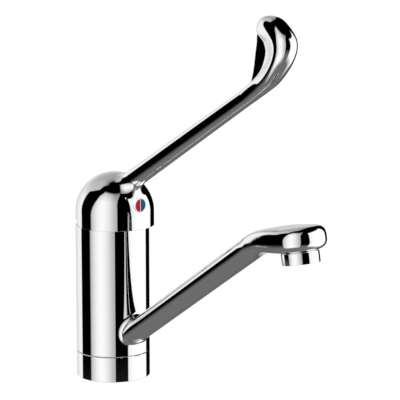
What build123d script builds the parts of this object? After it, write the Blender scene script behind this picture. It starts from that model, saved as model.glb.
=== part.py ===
"""Elbow lever mixer tap: a swivelling spout and a long lever on one ceramic cartridge.

Millimetres, +Z up. The origin is the centre of the foot's underside, and the spout
and the lever both point along +X.
"""

import os
from math import cos, degrees, radians, sin, tan

from build123d import *

# Column and seam: the cartridge inside sets the column's radius
cartridge_radius = 17.5
core_wall = 3.0
core_gap = 1.8
sleeve_wall = 2.7
base_height = 17.1
seam_gap = 0.4
sleeve_height = 86.5
edge_break = 0.5

# Clearances
running_clearance = 0.05
turning_clearance = 0.2
seat_clearance = 0.1
overrun = 1.0

# Spout arm and outlet head
# The arm's mid-line starts inside the sleeve, rises straight, then bends to the flatter head
spout_root_inset = 11.0
spout_root_rise = 9.1
spout_slope_angle = 33.5
spout_straight = 147.5
spout_bend_radius = 58.0
spout_bend_angle = 23.0
spout_head_length = 37.0
spout_half_width = 11.4
spout_half_height = 7.0
spout_wall = 2.6
spout_fillet = 3.0

# Aerator on the outlet
outlet_setback = 17.0
outlet_drop = 15.5
nozzle_radius = 10.9
nozzle_wall = 1.8
aerator_wall = 1.1
aerator_height = 7.3
aerator_lip = 1.0
aerator_mouth_radius = 9.0
aerator_flange = 1.2
aerator_gasket_height = 1.2
aerator_core_height = 8.0
screen_thickness = 0.5
jet_hole_radius = 0.8
jet_pitch = 2.5
jet_rows = 6
screen_hole_radius = 0.6
screen_pitch = 1.7
screen_rows = 9

# Cap of the lever
cap_overhang = 1.6
cap_offset = 2.7
cap_gap = 0.5
skirt_height = 9.2
cap_wall = 2.2
relief_clearance = 0.3

# Lever arm and paddle: the paddle stands in the arm's own plane, thick in front, thin behind
lever_root_x = 8.0
lever_root_rise = 15.2
lever_slope_angle = 30.8
lever_straight = 144.0
lever_half_width = 5.7
lever_half_height = 6.7
lever_fillet = 4.0
paddle_length = 50.0
paddle_half_width = 8.1
paddle_half_depth = 15.0
web_half_thickness = 1.2

# Motion
lift_angle = 22.0
swivel_angle = 60.0

# Inner body
core_neck_step = 0.5
core_neck_height = 3.2
foot_inset = 1.5
foot_bottom = 3.0
foot_height = 6.0
gasket_width = 7.0
inlet_thread_radius = 4.6
inlet_thread_depth = 14.0
inlet_way_radius = 3.2
stud_thread_radius = 3.4
stud_thread_depth = 16.0
stud_rim = 5.0
outlet_way_radius = 3.5
outlet_way_shift = 0.5
chamber_land = 4.1

# Swivel parts
glide_inset = 1.0
glide_recess = 1.5
seal_height = 2.4
seal_depth = 1.8
lower_seal_rise = 3.0
chamber_seal_land = 14.0
upper_seal_drop = 15.0
upper_glide_height = 4.0
upper_glide_depth = 0.8
upper_glide_drop = 6.0
lip_drop = 10.0
lip_height = 2.5
stop_drop = 13.0
stop_pin_radius = 2.0
stop_pin_length = 8.5
stop_slot_depth = 1.4

# Cartridge
cartridge_depth = 21.0
cartridge_base_height = 5.3
can_wall = 1.9
fixed_disc_height = 3.7
disc_margin = 4.8
moving_disc_height = 4.0
mixing_channel_end_rim = 4.3
mixing_channel_side_rim = 5.9
mixing_channel_depth = 2.0
carrier_height = 4.4
housing_neck_step = 0.6
housing_neck_height = 10.5
housing_neck_wall = 2.7
rotor_flange_height = 2.2
port_radius = 2.6
port_rim = 6.6
port_seal_section = 1.0

# Nut and cover
nut_thread_length = 6.0
nut_thread_step = 0.9
nut_head_height = 2.5
nut_head_wall = 1.0
cover_wall = 0.75
cover_height = 6.2

# Spindle, boss and indicator
spindle_half = 3.5
spindle_ball_radius = 2.9
spindle_neck_radius = 2.2
spindle_ball_depth = 1.2
spindle_over_screw = 10.3
stem_pin_radius = 1.8
stem_pin_land = 1.7
boss_wall = 4.0
boss_rise = 8.0
plug_rise = 7.0
indicator_radius = 4.6
indicator_depth = 3.2
indicator_proud = 0.25
mark_rim = 0.8
mark_gap = 0.5
mark_depth = 0.5
screw_radius = 2.5
screw_length = 8.0
screw_socket = 2.5
screw_socket_depth = 3.0
screw_rib_wall = 3.9

# Radii from the cartridge out to the cap
pocket_radius = cartridge_radius + seat_clearance
core_radius = cartridge_radius + core_wall
sleeve_bore_radius = core_radius + core_gap
column_radius = sleeve_bore_radius + sleeve_wall
core_neck_radius = core_radius - core_neck_step
chamber_radius = core_radius - seal_depth
foot_radius = column_radius - foot_inset
glide_radius = column_radius - glide_inset
plug_radius = foot_radius - gasket_width
stud_offset = plug_radius - stud_rim
cap_radius = column_radius + cap_overhang
inner_cap_radius = cap_radius - cap_wall

# Radii inside the cartridge
fixed_disc_radius = cartridge_radius - can_wall
moving_disc_radius = fixed_disc_radius - disc_margin
housing_neck_radius = fixed_disc_radius - housing_neck_step
rotor_radius = housing_neck_radius - housing_neck_wall
nut_thread_radius = pocket_radius + nut_thread_step
nut_across_flats = 2 * (housing_neck_radius + nut_head_wall)
inlet_offset = fixed_disc_radius - port_rim
outlet_way_x = inlet_offset + outlet_way_shift

# Radii of the outlet and the lever's fittings
nozzle_bore_radius = nozzle_radius - nozzle_wall
aerator_radius = nozzle_radius + aerator_wall
boss_radius = spindle_half + boss_wall
mark_radius = indicator_radius - mark_rim
screw_rib_radius = screw_radius + screw_rib_wall

# Heights up the column, from the foot
sleeve_bottom = base_height + seam_gap
glide_seat = base_height - glide_recess
glide_thickness = glide_recess + seam_gap - running_clearance
sleeve_top = sleeve_bottom + sleeve_height
lip_bottom = sleeve_top - lip_drop
upper_glide_bottom = lip_bottom - upper_glide_drop
stop_height = upper_glide_bottom - stop_drop
upper_seal_bottom = stop_height - upper_seal_drop
chamber_top = upper_seal_bottom - chamber_seal_land
lower_seal_bottom = sleeve_bottom + lower_seal_rise
chamber_bottom = lower_seal_bottom + seal_height + chamber_land
stop_pin_tip = sleeve_bore_radius + stop_slot_depth - turning_clearance
stop_pin_root = stop_pin_tip - stop_pin_length

# Heights of the cartridge and the lever's fittings, from the sleeve's top
core_neck_start = sleeve_top - turning_clearance
core_top = core_neck_start + core_neck_height
housing_shoulder = core_top - nut_thread_length
housing_top = housing_shoulder + housing_neck_height
nut_thread_top = core_top - turning_clearance
nut_head_top = nut_thread_top + nut_head_height
pocket_floor = housing_shoulder - cartridge_depth
disc_floor = pocket_floor + cartridge_base_height
slide_floor = disc_floor + fixed_disc_height
carrier_top = slide_floor + moving_disc_height + carrier_height
pivot_height = housing_top - stem_pin_land - stem_pin_radius
ball_height = carrier_top - spindle_ball_depth
spindle_ball_drop = pivot_height - ball_height
skirt_bottom = sleeve_top + cap_gap
dome_centre_z = skirt_bottom + skirt_height
boss_bottom = pivot_height + boss_rise
plug_height = dome_centre_z + plug_rise
spindle_top = plug_height + spindle_over_screw

os.makedirs("parts", exist_ok=True)


def keep(builder, name):
    """Label a finished piece and write it."""
    builder.part.label = name
    export_step(builder.part, f"parts/{name}.step")


def bent_line(start_x, start_z, slope, straight, radius, turn, tail):
    """A line in the XZ plane as two wires: the straight run, then its bend and tail."""
    with BuildLine(Plane.XZ) as line:
        run = PolarLine((start_x, start_z), straight, slope)
        bend = JernArc(run @ 1, run % 1, radius, turn)
        Line(bend @ 1, bend @ 1 + (bend % 1) * tail)
    first, *others = line.edges()
    return Wire([first]), Wire(others)


def square_plane(line, share):
    """The plane square to a line at a share of its length, with its x along +Y."""
    return Plane(origin=line @ share, x_dir=(0, 1, 0), z_dir=line % share)


def oval_sections(line, rows, half_width, half_height, inset=0.0):
    """Oval sections along a line. A row is its place, width and height shares."""
    sections = []
    for place_share, width_share, height_share in rows:
        with BuildSketch(square_plane(line, place_share)) as section:
            Ellipse(half_width * width_share - inset, half_height * height_share - inset)
        sections.append(section.sketch.face())
    return sections


def paddle_point(forward_share, rise_share):
    """A point of the paddle, from the arm's end."""
    return arm_end + Vector(forward_share, 0, rise_share) * paddle_length


def root_edges(builder, centre, reach):
    """The curved edges where an arm leaves its round body."""
    return [
        edge for edge in builder.edges()
        if edge.geom_type not in (GeomType.CIRCLE, GeomType.LINE)
        and (edge.center() - centre).length < reach
    ]


def ring_face(inner_radius, outer_radius, bottom):
    """A flat ring about the column's axis."""
    with BuildSketch(Plane.XY.offset(bottom)) as flat_ring:
        Circle(outer_radius)
        Circle(inner_radius, mode=Mode.SUBTRACT)
    return flat_ring.sketch


# Mid-lines of the two arms, and the plane of the outlet's mouth
spout_root_z = sleeve_bottom + spout_root_rise
lever_root_z = dome_centre_z + lever_root_rise
spout_run, spout_end = bent_line(
    column_radius - spout_root_inset, spout_root_z, spout_slope_angle, spout_straight,
    spout_bend_radius, -spout_bend_angle, spout_head_length,
)
lever_direction = Vector(cos(radians(lever_slope_angle)), 0, sin(radians(lever_slope_angle)))
arm_start = Vector(lever_root_x, 0, lever_root_z)
arm_end = arm_start + lever_direction * lever_straight
lever_run = Wire([Edge.make_line(arm_start, arm_end)])
head_tilt = spout_slope_angle - spout_bend_angle
head_direction = Vector(cos(radians(head_tilt)), 0, sin(radians(head_tilt)))
down_direction = Vector(sin(radians(head_tilt)), 0, -cos(radians(head_tilt)))
mouth = spout_end @ 1 - head_direction * outlet_setback + down_direction * outlet_drop
# Looks up the outlet from its mouth: +Z of this plane points into the head
mouth_plane = Plane(origin=mouth, x_dir=head_direction, z_dir=down_direction * -1.0)

# Base ring: the visible chrome ring, trapped between the foot and the glide ring
with BuildPart() as base_ring:
    with BuildSketch(Plane.XY):
        Circle(column_radius)
        Circle(core_radius + seat_clearance, mode=Mode.SUBTRACT)
    extrude(amount=base_height)
    with BuildSketch(Plane.XY):
        Circle(foot_radius + seat_clearance)
    extrude(amount=foot_bottom + foot_height + seat_clearance, mode=Mode.SUBTRACT)
    with BuildSketch(Plane.XY.offset(glide_seat)):
        Circle(glide_radius + seat_clearance)
    extrude(amount=base_height, mode=Mode.SUBTRACT)
    outer_edges = base_ring.edges().filter_by(GeomType.CIRCLE).group_by(SortBy.RADIUS)[-1]
    chamfer(outer_edges, edge_break / 2)
keep(base_ring, "base_ring")

# Base gasket: flat rubber ring between the foot and the worktop
with BuildPart() as base_gasket:
    extrude(ring_face(plug_radius + seat_clearance, foot_radius, 0), amount=foot_bottom)
keep(base_gasket, "base_gasket")

# Inner body: the fixed brass core with its waterways and the cartridge pocket
with BuildPart() as inner_body:
    with BuildSketch(Plane.XY):
        Circle(plug_radius)
    extrude(amount=foot_bottom)
    with BuildSketch(Plane.XY.offset(foot_bottom)):
        Circle(foot_radius)
    extrude(amount=foot_height)
    with BuildSketch(Plane.XY.offset(foot_bottom + foot_height)):
        Circle(core_radius)
    extrude(amount=core_neck_start - foot_bottom - foot_height)
    with BuildSketch(Plane.XY.offset(core_neck_start)):
        Circle(core_neck_radius)
    extrude(amount=core_top - core_neck_start)
    # Pocket and thread for the cartridge
    with BuildSketch(Plane.XY.offset(pocket_floor)):
        Circle(pocket_radius)
    extrude(amount=core_top - pocket_floor + overrun, mode=Mode.SUBTRACT)
    with BuildSketch(Plane.XY.offset(housing_shoulder)):
        Circle(nut_thread_radius)
    extrude(amount=core_top - housing_shoulder + overrun, mode=Mode.SUBTRACT)
    # Ring groove round the outlet, and the grooves of seals and glide ring
    for bottom, height, depth in (
        (chamber_bottom, chamber_top - chamber_bottom, core_radius - chamber_radius),
        (lower_seal_bottom, seal_height, seal_depth),
        (upper_seal_bottom, seal_height, seal_depth),
        (upper_glide_bottom, upper_glide_height, upper_glide_depth),
    ):
        with BuildSketch(Plane.XY.offset(bottom)):
            Circle(core_radius + overrun)
            Circle(core_radius - depth, mode=Mode.SUBTRACT)
        extrude(amount=height, mode=Mode.SUBTRACT)
    # Two inlets, one stud hole
    with BuildSketch(Plane.XY):
        with Locations((0, inlet_offset), (0, -inlet_offset)):
            Circle(inlet_thread_radius)
    extrude(amount=inlet_thread_depth, mode=Mode.SUBTRACT)
    with BuildSketch(Plane.XY):
        with Locations((0, inlet_offset), (0, -inlet_offset)):
            Circle(inlet_way_radius)
    extrude(amount=pocket_floor + overrun, mode=Mode.SUBTRACT)
    with BuildSketch(Plane.XY):
        with Locations((-stud_offset, 0)):
            Circle(stud_thread_radius)
    extrude(amount=stud_thread_depth, mode=Mode.SUBTRACT)
    # Mixed water way down to the ring groove
    chamber_middle = (chamber_bottom + chamber_top) / 2
    with BuildSketch(Plane.XY.offset(chamber_middle)):
        with Locations((outlet_way_x, 0)):
            Circle(outlet_way_radius)
    extrude(amount=pocket_floor - chamber_middle + overrun, mode=Mode.SUBTRACT)
    with BuildSketch(Plane.YZ.offset(outlet_way_x)):
        with Locations((0, chamber_middle)):
            Circle(outlet_way_radius)
    extrude(amount=core_radius, mode=Mode.SUBTRACT)
    # Seat of the stop pin, at the back
    with BuildSketch(Plane.YZ.offset(-core_radius - overrun)):
        with Locations((0, stop_height)):
            Circle(stop_pin_radius + seat_clearance / 2)
    extrude(amount=core_radius + overrun - stop_pin_root, mode=Mode.SUBTRACT)
keep(inner_body, "inner_body")

# Glide rings carry the sleeve below and centre it above
with BuildPart() as lower_glide_ring:
    extrude(ring_face(core_radius + seat_clearance, glide_radius, glide_seat), amount=glide_thickness)
keep(lower_glide_ring, "lower_glide_ring")

with BuildPart() as upper_glide_ring:
    glide_face = ring_face(
        core_radius - upper_glide_depth + seat_clearance,
        sleeve_bore_radius - turning_clearance,
        upper_glide_bottom + seat_clearance,
    )
    extrude(glide_face, amount=upper_glide_height - 2 * seat_clearance)
keep(upper_glide_ring, "upper_glide_ring")

# Swivel seals, one below and one above the ring groove
for seal_name, seal_bottom in (
    ("lower_swivel_seal", lower_seal_bottom),
    ("upper_swivel_seal", upper_seal_bottom),
):
    with BuildPart() as swivel_seal:
        seal_face = ring_face(
            core_radius - seal_depth + seat_clearance,
            sleeve_bore_radius - turning_clearance,
            seal_bottom + seat_clearance,
        )
        extrude(seal_face, amount=seal_height - 2 * seat_clearance)
    keep(swivel_seal, seal_name)

# Stop pin: runs in the sleeve's slot and ends the spout's swing
with BuildPart() as swivel_stop_pin:
    with BuildSketch(Plane.YZ.offset(-stop_pin_tip)):
        with Locations((0, stop_height)):
            Circle(stop_pin_radius)
    extrude(amount=stop_pin_tip - stop_pin_root)
keep(swivel_stop_pin, "swivel_stop_pin")

# Swivel nut: keeps the sleeve's lip down
swivel_nut_bottom = lip_bottom + lip_height + turning_clearance
with BuildPart() as swivel_nut:
    nut_face = ring_face(
        core_radius + running_clearance,
        sleeve_bore_radius - turning_clearance,
        swivel_nut_bottom,
    )
    extrude(nut_face, amount=core_neck_start - swivel_nut_bottom)
keep(swivel_nut, "swivel_nut")

# Spout body: sleeve, rising arm and flat outlet head in one casting
# Each row: place along the bend and head, half width share, half height share
head_shares = (
    (0.0, 1.0, 1.0),
    (0.1, 1.03, 1.0),
    (0.22, 1.15, 1.02),
    (0.37, 1.33, 1.04),
    (0.5, 1.44, 1.06),
    (0.62, 1.5, 1.07),
    (0.735, 1.49, 1.07),
    (0.834, 1.37, 1.03),
    (0.917, 1.105, 0.94),
    (0.967, 0.79, 0.8),
    (1.0, 0.3, 0.5),
)
waterway_shares = (
    (0.0, 1.0, 1.0),
    (0.2, 1.0, 1.0),
    (0.4, 1.0, 1.0),
    (0.6, 1.0, 1.0),
    (0.75, 1.0, 1.0),
)
nozzle_end = aerator_lip + aerator_flange + aerator_gasket_height
with BuildPart() as spout_body:
    with BuildSketch(Plane(origin=(0, 0, sleeve_bottom), x_dir=(-1, 0, 0))):
        Circle(column_radius)
    extrude(amount=sleeve_top - sleeve_bottom)
    chamfer(spout_body.edges().filter_by(GeomType.CIRCLE), edge_break / 2)
    # Straight arm, filleted where it leaves the sleeve
    arm_section = oval_sections(spout_run, head_shares[:1], spout_half_width, spout_half_height)
    extrude(arm_section, amount=spout_straight)
    arm_foot = Vector(column_radius, 0, spout_root_z)
    fillet(root_edges(spout_body, arm_foot, column_radius), spout_fillet)
    loft(oval_sections(spout_end, head_shares, spout_half_width, spout_half_height))
    # Nozzle under the head
    with BuildSketch(mouth_plane.offset(nozzle_end)):
        Circle(nozzle_radius)
    extrude(amount=outlet_drop - nozzle_end)
    # Sleeve bore, with the lip that the nut holds
    with BuildSketch(Plane.XY.offset(sleeve_bottom - overrun)):
        Circle(sleeve_bore_radius)
    extrude(amount=lip_bottom - sleeve_bottom + overrun, mode=Mode.SUBTRACT)
    with BuildSketch(Plane.XY.offset(lip_bottom - overrun)):
        Circle(core_radius + turning_clearance)
    extrude(amount=sleeve_top, mode=Mode.SUBTRACT)
    with BuildSketch(Plane.XY.offset(lip_bottom + lip_height)):
        Circle(sleeve_bore_radius)
    extrude(amount=sleeve_top, mode=Mode.SUBTRACT)
    # Waterway up the arm and round the bend, and the nozzle's bore
    way_half_sizes = (spout_half_width, spout_half_height, spout_wall)
    straight_way = oval_sections(spout_run, waterway_shares[:1], *way_half_sizes)
    extrude(straight_way, amount=spout_straight, mode=Mode.SUBTRACT)
    loft(oval_sections(spout_end, waterway_shares, *way_half_sizes), mode=Mode.SUBTRACT)
    with BuildSketch(mouth_plane):
        Circle(nozzle_bore_radius)
    extrude(amount=outlet_drop, mode=Mode.SUBTRACT)
    # Slot for the stop pin, round the back of the bore
    slot_angle = swivel_angle + degrees(stop_pin_radius / sleeve_bore_radius)
    with BuildSketch(Plane.XY.offset(stop_height - stop_pin_radius - turning_clearance)):
        with BuildLine():
            outer = CenterArc(
                (0, 0), sleeve_bore_radius + stop_slot_depth, 180 - slot_angle, 2 * slot_angle
            )
            inner = CenterArc(
                (0, 0), sleeve_bore_radius - overrun, 180 - slot_angle, 2 * slot_angle
            )
            Line(outer @ 0, inner @ 0)
            Line(outer @ 1, inner @ 1)
        make_face()
    extrude(amount=2 * (stop_pin_radius + turning_clearance), mode=Mode.SUBTRACT)
keep(spout_body, "spout_body")

# Aerator housing: the chrome ring screwed on the nozzle
with BuildPart() as aerator_housing:
    with BuildSketch(mouth_plane):
        Circle(aerator_radius)
        Circle(aerator_mouth_radius, mode=Mode.SUBTRACT)
    extrude(amount=aerator_height)
    ring_edges = aerator_housing.edges().filter_by(GeomType.CIRCLE)
    chamfer(ring_edges.group_by(SortBy.RADIUS)[-1], edge_break / 2)
    with BuildSketch(mouth_plane.offset(aerator_lip)):
        Circle(nozzle_radius + seat_clearance)
    extrude(amount=aerator_height, mode=Mode.SUBTRACT)
keep(aerator_housing, "aerator_housing")

# Aerator insert: a flanged cup with jet holes
with BuildPart() as aerator_insert:
    with BuildSketch(mouth_plane.offset(aerator_lip)):
        Circle(nozzle_radius)
    extrude(amount=aerator_flange)
    with BuildSketch(mouth_plane.offset(aerator_lip)):
        Circle(nozzle_bore_radius - seat_clearance)
    extrude(amount=aerator_core_height)
    with BuildSketch(mouth_plane.offset(aerator_lip)):
        with HexLocations(jet_pitch / 2, jet_rows, jet_rows):
            Circle(jet_hole_radius)
        Circle(nozzle_bore_radius - overrun, mode=Mode.INTERSECT)
    extrude(amount=aerator_core_height, mode=Mode.SUBTRACT)
keep(aerator_insert, "aerator_insert")

# Aerator gasket: between the insert's flange and the nozzle
with BuildPart() as aerator_gasket:
    with BuildSketch(mouth_plane.offset(aerator_lip + aerator_flange)):
        Circle(nozzle_radius)
        Circle(nozzle_bore_radius, mode=Mode.SUBTRACT)
    extrude(amount=aerator_gasket_height)
keep(aerator_gasket, "aerator_gasket")

# Aerator screen: the fine mesh in the mouth, under the insert
with BuildPart() as aerator_screen:
    with BuildSketch(mouth_plane.offset(aerator_lip - screen_thickness)):
        Circle(aerator_mouth_radius - seat_clearance)
        with HexLocations(screen_pitch / 2, screen_rows, screen_rows):
            Circle(screen_hole_radius, mode=Mode.SUBTRACT)
    extrude(amount=screen_thickness)
keep(aerator_screen, "aerator_screen")

# Cartridge base, with two inlets and one outlet
port_bearings = (90, 270, 0)
port_places = [
    (inlet_offset * cos(radians(bearing)), inlet_offset * sin(radians(bearing)))
    for bearing in port_bearings
]
with BuildPart() as cartridge_base:
    with BuildSketch(Plane.XY.offset(pocket_floor)):
        Circle(pocket_radius - seat_clearance)
        with Locations(port_places):
            Circle(port_radius, mode=Mode.SUBTRACT)
    extrude(amount=cartridge_base_height)
    with BuildSketch(Plane.XY.offset(pocket_floor)):
        with Locations(port_places):
            Circle(port_radius + port_seal_section)
    extrude(amount=port_seal_section, mode=Mode.SUBTRACT)
keep(cartridge_base, "cartridge_base")

# Port seals: three rubber rings in the base's counterbores
with BuildPart() as port_seals:
    for port_place in port_places:
        with BuildSketch(Plane.XY.offset(pocket_floor)):
            with Locations(port_place):
                Circle(port_radius + port_seal_section)
                Circle(port_radius, mode=Mode.SUBTRACT)
        extrude(amount=port_seal_section)
keep(port_seals, "port_seals")

# Fixed ceramic disc
with BuildPart() as fixed_disc:
    with BuildSketch(Plane.XY.offset(disc_floor)):
        Circle(fixed_disc_radius)
        with Locations(port_places):
            Circle(port_radius, mode=Mode.SUBTRACT)
    extrude(amount=fixed_disc_height)
keep(fixed_disc, "fixed_disc")

# Cartridge housing: the plastic can round discs and stem holder
flange_top = carrier_top + turning_clearance + rotor_flange_height
with BuildPart() as cartridge_housing:
    with BuildSketch(Plane.XY.offset(disc_floor)):
        Circle(pocket_radius - seat_clearance)
    extrude(amount=housing_shoulder - disc_floor)
    with BuildSketch(Plane.XY.offset(housing_shoulder)):
        Circle(housing_neck_radius)
    extrude(amount=housing_top - housing_shoulder)
    with BuildSketch(Plane.XY.offset(disc_floor)):
        Circle(fixed_disc_radius + seat_clearance)
    extrude(amount=flange_top + turning_clearance - disc_floor, mode=Mode.SUBTRACT)
    with BuildSketch(Plane.XY.offset(disc_floor)):
        Circle(rotor_radius + turning_clearance)
    extrude(amount=housing_top, mode=Mode.SUBTRACT)
keep(cartridge_housing, "cartridge_housing")

# Cartridge nut: threaded ring with a hexagon head
with BuildPart() as cartridge_nut:
    with BuildSketch(Plane.XY.offset(housing_shoulder)):
        Circle(nut_thread_radius - running_clearance)
    extrude(amount=nut_thread_top - housing_shoulder)
    with BuildSketch(Plane.XY.offset(nut_thread_top)):
        RegularPolygon(nut_across_flats / 2, 6, major_radius=False)
    extrude(amount=nut_head_top - nut_thread_top)
    with BuildSketch(Plane.XY.offset(housing_shoulder)):
        Circle(housing_neck_radius + seat_clearance)
    extrude(amount=nut_head_top, mode=Mode.SUBTRACT)
keep(cartridge_nut, "cartridge_nut")

# Neck cover: thin chrome cup over the nut
cover_bottom = core_neck_start + seat_clearance
cover_radius = core_neck_radius + seat_clearance + cover_wall
with BuildPart() as neck_cover:
    with BuildSketch(Plane.XY.offset(cover_bottom)):
        Circle(cover_radius)
    extrude(amount=cover_height)
    fillet(neck_cover.edges().group_by(Axis.Z)[-1], cover_wall / 2)
    with BuildSketch(Plane.XY.offset(cover_bottom)):
        Circle(core_neck_radius + seat_clearance)
    extrude(amount=cover_height - cover_wall, mode=Mode.SUBTRACT)
    with BuildSketch(Plane.XY.offset(cover_bottom)):
        Circle(housing_neck_radius + seat_clearance)
    extrude(amount=cover_height, mode=Mode.SUBTRACT)
keep(neck_cover, "neck_cover")

# Stem holder: turns with the lever and carries the pivot pin
holder_bottom = carrier_top + turning_clearance
slot_half_width = spindle_half + turning_clearance
slot_back = spindle_half + (housing_top - pivot_height) * tan(radians(lift_angle)) + overrun
slot_front = spindle_ball_radius + spindle_ball_drop * sin(radians(lift_angle)) + overrun
with BuildPart() as stem_holder:
    with BuildSketch(Plane.XY.offset(holder_bottom)):
        Circle(fixed_disc_radius)
    extrude(amount=rotor_flange_height)
    with BuildSketch(Plane.XY.offset(holder_bottom)):
        Circle(rotor_radius)
    extrude(amount=housing_top - turning_clearance - holder_bottom)
    with BuildSketch(Plane.XY.offset(holder_bottom)):
        with Locations(((slot_front - slot_back) / 2, 0)):
            Rectangle(slot_front + slot_back, 2 * slot_half_width)
    extrude(amount=housing_top, mode=Mode.SUBTRACT)
    with BuildSketch(Plane.XZ.offset(-rotor_radius)):
        with Locations((0, pivot_height)):
            Circle(stem_pin_radius)
    extrude(amount=2 * rotor_radius, mode=Mode.SUBTRACT)
keep(stem_holder, "stem_holder")

# Stem pin: across the holder
pin_half_length = rotor_radius - seat_clearance
with BuildPart() as stem_pin:
    with BuildSketch(Plane.XZ.offset(-pin_half_length)):
        with Locations((0, pivot_height)):
            Circle(stem_pin_radius)
    extrude(amount=2 * pin_half_length)
keep(stem_pin, "stem_pin")

# Moving ceramic disc, with the shallow channel that mixes the water
with BuildPart() as moving_disc:
    with BuildSketch(Plane.XY.offset(slide_floor)):
        Circle(moving_disc_radius)
    extrude(amount=moving_disc_height)
    with BuildSketch(Plane.XY.offset(slide_floor)):
        Ellipse(
            moving_disc_radius - mixing_channel_end_rim,
            moving_disc_radius - mixing_channel_side_rim,
        )
    extrude(amount=mixing_channel_depth, mode=Mode.SUBTRACT)
keep(moving_disc, "moving_disc")

# Disc carrier: the spindle's ball pushes it
with BuildPart() as disc_carrier:
    with BuildSketch(Plane.XY.offset(slide_floor + moving_disc_height)):
        Circle(moving_disc_radius)
    extrude(amount=carrier_height)
    with BuildSketch(Plane.XY.offset(carrier_top)):
        Circle(spindle_ball_radius + turning_clearance)
    extrude(amount=-carrier_height, mode=Mode.SUBTRACT)
keep(disc_carrier, "disc_carrier")

# Spindle: square stem, pivot hole and ball end
with BuildPart() as spindle:
    with BuildSketch(Plane.XY.offset(pivot_height - spindle_half)):
        Rectangle(2 * spindle_half, 2 * spindle_half)
    extrude(amount=spindle_top - pivot_height + spindle_half)
    chamfer(spindle.edges().group_by(Axis.Z)[-1], edge_break)
    with BuildSketch(Plane.XY.offset(ball_height)):
        Circle(spindle_neck_radius)
    extrude(amount=spindle_ball_drop)
    with Locations((0, 0, ball_height)):
        Sphere(spindle_ball_radius)
    with BuildSketch(Plane.XZ.offset(-column_radius)):
        with Locations((0, pivot_height)):
            Circle(stem_pin_radius + running_clearance)
    extrude(amount=2 * column_radius, mode=Mode.SUBTRACT)
keep(spindle, "spindle")

# Lever handle: domed cap, arm and standing paddle in one casting
arm_taper_share = 0.77
arm_shares = ((0.0, 1.0, 1.0), (1.0, 0.85, arm_taper_share))
# Each row after the arm's end: forward share, rise share, the way the paddle heads in
# degrees from level, half width share and half depth share
paddle_shares = (
    (0.120, 0.077, 47.5, 0.642, 0.375),
    (0.236, 0.151, 64.8, 0.704, 0.440),
    (0.358, 0.242, 78.5, 0.815, 0.551),
    (0.479, 0.379, 88.0, 0.914, 0.650),
    (0.558, 0.511, 90.0, 0.975, 0.727),
    (0.594, 0.627, 90.0, 1.000, 0.787),
    (0.568, 0.727, 90.0, 1.000, 0.900),
    (0.530, 0.811, 90.0, 0.975, 1.000),
    (0.498, 0.887, 90.0, 0.901, 0.973),
    (0.472, 0.953, 90.0, 0.753, 0.813),
    (0.452, 1.003, 90.0, 0.543, 0.573),
    (0.434, 1.033, 90.0, 0.296, 0.293),
)
# The web's edge from its upper corner down, then its hidden line inside the thick front
web_shares = (
    (0.184, 0.772),
    (0.180, 0.686),
    (0.160, 0.574),
    (0.144, 0.462),
    (0.124, 0.348),
    (0.092, 0.234),
    (0.036, 0.118),
    (0.286, 0.228),
    (0.486, 0.468),
    (0.426, 0.768),
    (0.286, 0.838),
)
cap_axis = Axis((cap_offset, 0, 0), (0, 0, 1))
# The back of the skirt is cut so that it lies level over the sleeve at full lift
relief_level = sleeve_top + relief_clearance
relief_plane = Plane(
    origin=(
        -(pivot_height - relief_level) * sin(radians(lift_angle)),
        0,
        pivot_height - (pivot_height - relief_level) * cos(radians(lift_angle)),
    ),
    x_dir=(0, 1, 0),
    z_dir=(-sin(radians(lift_angle)), 0, -cos(radians(lift_angle))),
)
# Hollow of the cap, with the spindle's boss and the screw's rib left standing
with BuildPart() as cap_hollow:
    with BuildSketch(Plane.XZ):
        with BuildLine():
            Polyline(
                (cap_offset, dome_centre_z + inner_cap_radius),
                (cap_offset, skirt_bottom - overrun),
                (cap_offset + inner_cap_radius, skirt_bottom - overrun),
                (cap_offset + inner_cap_radius, dome_centre_z),
            )
            CenterArc((cap_offset, dome_centre_z), inner_cap_radius, 0, 90)
        make_face()
    revolve(axis=cap_axis)
    with BuildSketch(Plane.XY.offset(boss_bottom)):
        Circle(boss_radius)
    extrude(amount=cap_radius, mode=Mode.SUBTRACT)
    with BuildSketch(Plane.YZ):
        with Locations((0, plug_height)):
            Circle(screw_rib_radius)
    extrude(amount=cap_offset + cap_radius, mode=Mode.SUBTRACT)

plug_seat_x = cap_offset + cap_radius - indicator_depth - overrun
with BuildPart() as arm_and_paddle:
    arm_sections = oval_sections(lever_run, arm_shares, lever_half_width, lever_half_height)
    loft(arm_sections, ruled=True)
    paddle_sections = arm_sections[-1:]
    for forward_share, rise_share, heading, width_share, depth_share in paddle_shares:
        ahead = (cos(radians(heading)), 0, sin(radians(heading)))
        section_plane = Plane(paddle_point(forward_share, rise_share), x_dir=(0, 1, 0), z_dir=ahead)
        with BuildSketch(section_plane) as section:
            Ellipse(paddle_half_width * width_share, paddle_half_depth * depth_share)
        paddle_sections.append(section.sketch.face())
    loft(paddle_sections)
    web_face = Face(Wire.make_polygon([paddle_point(*row) for row in web_shares]))
    extrude(web_face, amount=web_half_thickness, dir=(0, 1, 0), both=True)

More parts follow.
